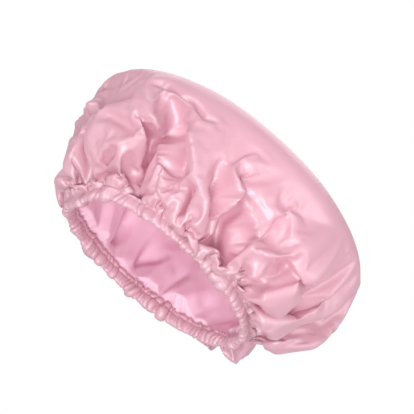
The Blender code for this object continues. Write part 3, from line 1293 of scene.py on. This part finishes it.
class SHOWERCAP_OT_lining(bpy.types.Operator):
    """Hang the smooth waterproof lining inside the satin shell"""

    bl_idname = "shower_cap.lining"
    bl_label = "Lining"

    def execute(self, context):
        points, counts = lining_rings(bpy.data.objects["satin_shell"])
        faces = [part[:, ::-1] for part in ring_faces(counts)]
        mesh = new_mesh("film_lining", points, faces)
        material = film_material(context.scene.shower_cap_colours)
        lining = add_piece(mesh, material, ["lining_front", "lining_back"])
        bend_with_rim(lining)
        return {"FINISHED"}


class SHOWERCAP_OT_elastic(bpy.types.Operator):
    """Lay the knitted elastic in the hem and tack its lapped ends"""

    bl_idname = "shower_cap.elastic"
    bl_label = "Elastic and Tack"

    def execute(self, context):
        colours = context.scene.shower_cap_colours
        material = elastic_material(colours)
        elastic = add_piece(elastic_mesh(), material, ["elastic_band"])
        bend_with_rim(elastic)
        mesh = tube("bar_tack", tack_path(), TACK_THREAD * THREAD_RADIUS, 8)
        tack = add_piece(mesh, thread_material(colours), ["elastic_join_tack"])
        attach(tack, "back")
        return {"FINISHED"}


class SHOWERCAP_OT_seam(bpy.types.Operator):
    """Sew the hem with a needle thread outside and a bobbin thread inside"""

    bl_idname = "shower_cap.seam"
    bl_label = "Hem Seam"

    def execute(self, context):
        material = thread_material(context.scene.shower_cap_colours)
        for name, place in (("needle_thread", SEAM_OUTSIDE), ("bobbin_thread", SEAM_INSIDE)):
            mesh = tube(name, seam_path(place), THREAD_RADIUS, 6)
            thread = add_piece(mesh, material, [f"{name}_front", f"{name}_back"])
            bend_with_rim(thread)
        return {"FINISHED"}


# The camera turns about this height above the rim, and looks a little beside it in its own picture
TARGET_HEIGHT = 70.0 * MM
AIM_RIGHT = 7.2 * MM
AIM_ABOVE = 6.1 * MM

# Each light's place beside the cap's middle, in metres towards the camera, upwards and to the right
# in its picture, and the light's size
LIGHTS = {
    "key": (1.3, 0.9, -0.6, 0.6),
    "side": (0.8, -0.2, 1.3, 1.0),
    "front": (1.6, -0.5, -0.2, 0.9),
    "back": (-1.1, 0.9, 0.4, 1.3),
}
FLOOR_HALF = 8.0
FLOOR_HEIGHT = -2.6


class SHOWERCAP_OT_stage(bpy.types.Operator):
    """Set up the camera, the lights, the white surroundings and the floor"""

    bl_idname = "shower_cap.stage"
    bl_label = "Camera, Lights and Floor"

    def execute(self, context):
        stage = context.scene.shower_cap_stage
        flat = cos(stage.elevation)
        back = Vector(
            (sin(stage.azimuth) * flat, -cos(stage.azimuth) * flat, sin(stage.elevation))
        )
        target = Vector((RIM_MIDDLE, 0.0, TARGET_HEIGHT))
        upright = (-back).to_track_quat("-Z", "Y")
        turned = upright @ Quaternion((0.0, 0.0, 1.0), stage.roll)
        right = turned @ Vector((1.0, 0.0, 0.0))
        above = turned @ Vector((0.0, 1.0, 0.0))
        camera = add_object(bpy.data.cameras.new("camera"))
        camera.data.lens = stage.lens
        camera.location = target + back * stage.distance
        aim = target + AIM_RIGHT * right + AIM_ABOVE * above
        facing = (camera.location - aim).normalized()
        swing = back.rotation_difference(facing)
        camera.rotation_mode = "QUATERNION"
        camera.rotation_quaternion = swing @ turned
        context.scene.camera = camera
        for name, (nearer, higher, aside, size) in LIGHTS.items():
            place = target + nearer * back + higher * above + aside * right
            power = getattr(stage, f"{name}_power")
            add_area_light(f"{name} light", target, place, size, power)
        add_world(stage.surroundings)
        add_floor()
        context.scene.view_settings.view_transform = "Standard"
        return {"FINISHED"}


def add_area_light(name, target, place, size, power):
    """A square soft light that looks at the target."""
    light = bpy.data.lights.new(name, "AREA")
    light.size = size
    light.energy = power
    lamp = add_object(light)
    lamp.location = place
    lamp.rotation_euler = (target - place).to_track_quat("-Z", "Y").to_euler()


def add_world(brightness):
    """White surroundings: pure white to look at, and softer as light."""
    world = bpy.data.worlds.new("white room")
    bpy.context.scene.world = world
    world.use_nodes = True
    tree = world.node_tree
    seen = add_node(tree, "ShaderNodeLightPath", "Is Camera Ray", {})
    strength = between(tree, seen, brightness, 1.0)
    set_inputs(tree, tree.nodes["Background"], {"Color": (1.0, 1.0, 1.0), "Strength": strength})


def add_floor():
    """A plain pale floor, far enough below that no view of the cap is cut off by it."""
    corners = FLOOR_HALF * np.array([[-1.0, -1.0], [1.0, -1.0], [1.0, 1.0], [-1.0, 1.0]])
    points = np.column_stack([corners, np.full(4, FLOOR_HEIGHT)])
    mesh = new_mesh("floor", points, [np.array([[0, 1, 2, 3]])])
    material, tree, shader = new_material("pale floor")
    set_inputs(tree, shader, {"Base Color": (0.92, 0.91, 0.91), "Roughness": 0.8})
    mesh.materials.append(material)
    floor = add_object(mesh)


class SHOWERCAP_PT_panel(bpy.types.Panel):
    """Lists the cap's pieces and settings"""

    bl_label = "Shower Cap"
    bl_idname = "SHOWERCAP_PT_panel"
    bl_space_type = "VIEW_3D"
    bl_region_type = "UI"
    bl_category = "Shower Cap"

    def draw(self, context):
        for group in ("shower_cap_sizes", "shower_cap_colours", "shower_cap_stage"):
            settings = getattr(context.scene, group)
            box = self.layout.box()
            for name in settings.__annotations__:
                box.prop(settings, name)
        for operator in OPERATORS:
            self.layout.operator(operator.bl_idname)


GROUPS = {
    "shower_cap_sizes": CapSizes,
    "shower_cap_colours": CapColours,
    "shower_cap_stage": CapStage,
}
OPERATORS = (
    SHOWERCAP_OT_shell,
    SHOWERCAP_OT_lining,
    SHOWERCAP_OT_elastic,
    SHOWERCAP_OT_seam,
    SHOWERCAP_OT_stage,
)


def register():
    for name, group in GROUPS.items():
        bpy.utils.register_class(group)
        setattr(bpy.types.Scene, name, PointerProperty(type=group))
    for operator in OPERATORS:
        bpy.utils.register_class(operator)
    bpy.utils.register_class(SHOWERCAP_PT_panel)


def unregister():
    bpy.utils.unregister_class(SHOWERCAP_PT_panel)
    for operator in reversed(OPERATORS):
        bpy.utils.unregister_class(operator)
    for name, group in reversed(GROUPS.items()):
        delattr(bpy.types.Scene, name)
        bpy.utils.unregister_class(group)


def main():
    register()
    for operator in OPERATORS:
        family, name = operator.bl_idname.split(".")
        getattr(getattr(bpy.ops, family), name)()


if __name__ == "__main__":
    main()
